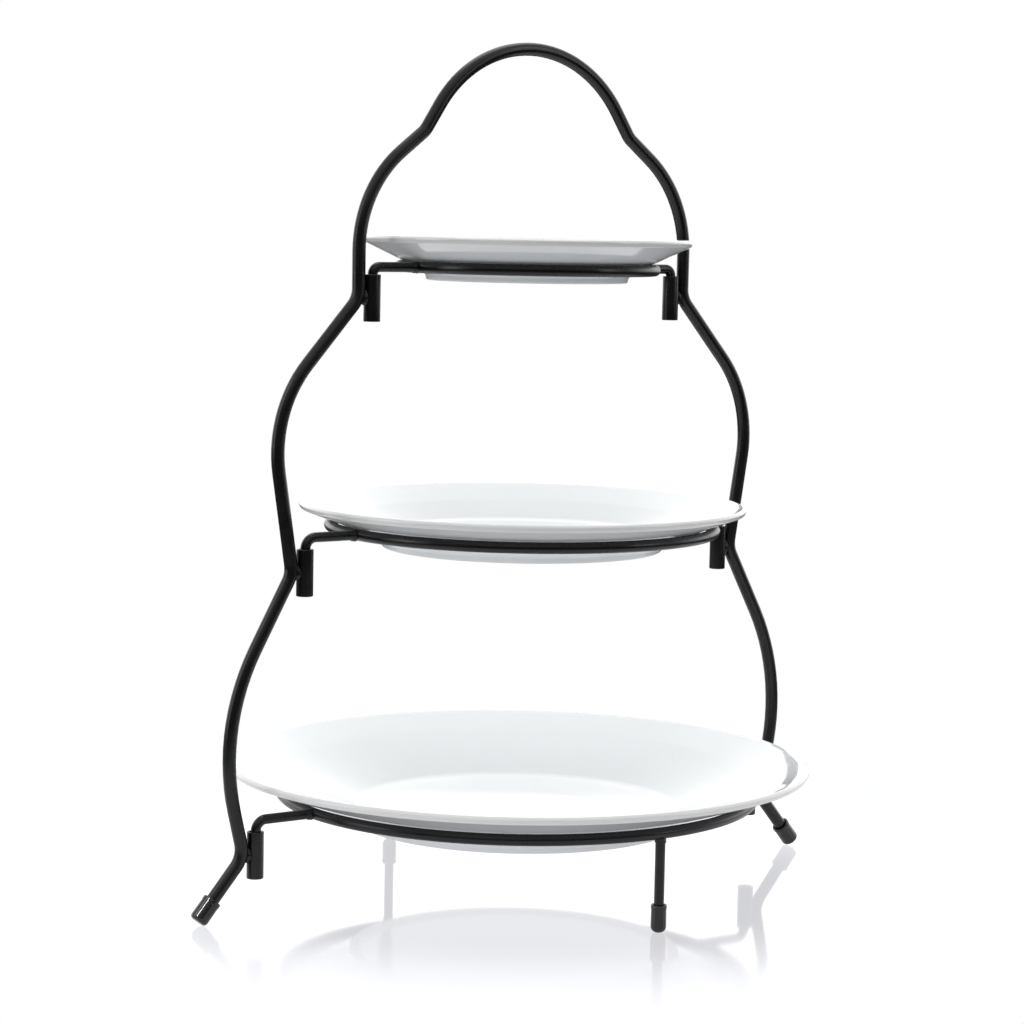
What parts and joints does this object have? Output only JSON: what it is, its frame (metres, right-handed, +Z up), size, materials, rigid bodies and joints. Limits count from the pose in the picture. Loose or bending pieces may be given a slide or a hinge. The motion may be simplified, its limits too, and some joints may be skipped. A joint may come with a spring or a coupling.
{
  "type": "tiered cake stand",
  "caption": "Tiered cake stand: a bent rod arch with handle carries lift-out ring carriers, each holding a round porcelain plate.",
  "frame": {"origin": "on the floor, under the middle of the stand", "axes": "+Z up, X along the plane of the arch, front towards -Y"},
  "size_m": [0.3438, 0.273, 0.391],
  "materials": {
    "black_powder_coat": "satin black powder coat on steel wire and tube",
    "black_cap": "smooth glossy black vinyl cap",
    "white_porcelain": "clear glossy glaze over cool white porcelain"
  },
  "bodies": {
    "arch": {"arch_rod": "black_powder_coat", "bottom_socket_left": "black_powder_coat", "bottom_socket_right": "black_powder_coat", "middle_socket_left": "black_powder_coat", "middle_socket_right": "black_powder_coat", "top_socket_left": "black_powder_coat", "top_socket_right": "black_powder_coat", "rod_cap_left": "black_cap", "rod_cap_right": "black_cap"},
    "bottom_carrier": {"bottom_ring": "black_powder_coat", "bottom_arm_left": "black_powder_coat", "bottom_arm_right": "black_powder_coat", "front_leg": "black_powder_coat", "rear_leg": "black_powder_coat", "front_leg_cap": "black_cap", "rear_leg_cap": "black_cap"},
    "middle_carrier": {"middle_ring": "black_powder_coat", "middle_arm_left": "black_powder_coat", "middle_arm_right": "black_powder_coat"},
    "top_carrier": {"top_ring": "black_powder_coat", "top_arm_left": "black_powder_coat", "top_arm_right": "black_powder_coat"},
    "bottom_dish": {"bottom_plate": "white_porcelain"},
    "middle_dish": {"middle_plate": "white_porcelain"},
    "top_dish": {"top_plate": "white_porcelain"}
  },
  "joints": [
    {"name": "bottom_carrier_lift", "type": "slide", "parent": "arch", "child": "bottom_carrier", "axis": [0, 0, 1], "range_m": [0, 0.0145]},
    {"name": "middle_carrier_lift", "type": "slide", "parent": "arch", "child": "middle_carrier", "axis": [0, 0, 1], "range_m": [0, 0.0145]},
    {"name": "top_carrier_lift", "type": "slide", "parent": "arch", "child": "top_carrier", "axis": [0, 0, 1], "range_m": [0, 0.0145]},
    {"name": "bottom_plate_lift", "type": "slide", "parent": "bottom_carrier", "child": "bottom_dish", "axis": [0, 0, 1], "range_m": [0, 0.044]},
    {"name": "middle_plate_lift", "type": "slide", "parent": "middle_carrier", "child": "middle_dish", "axis": [0, 0, 1], "range_m": [0, 0.052]},
    {"name": "top_plate_lift", "type": "slide", "parent": "top_carrier", "child": "top_dish", "axis": [0, 0, 1], "range_m": [0, 0.0095]}
  ]
}
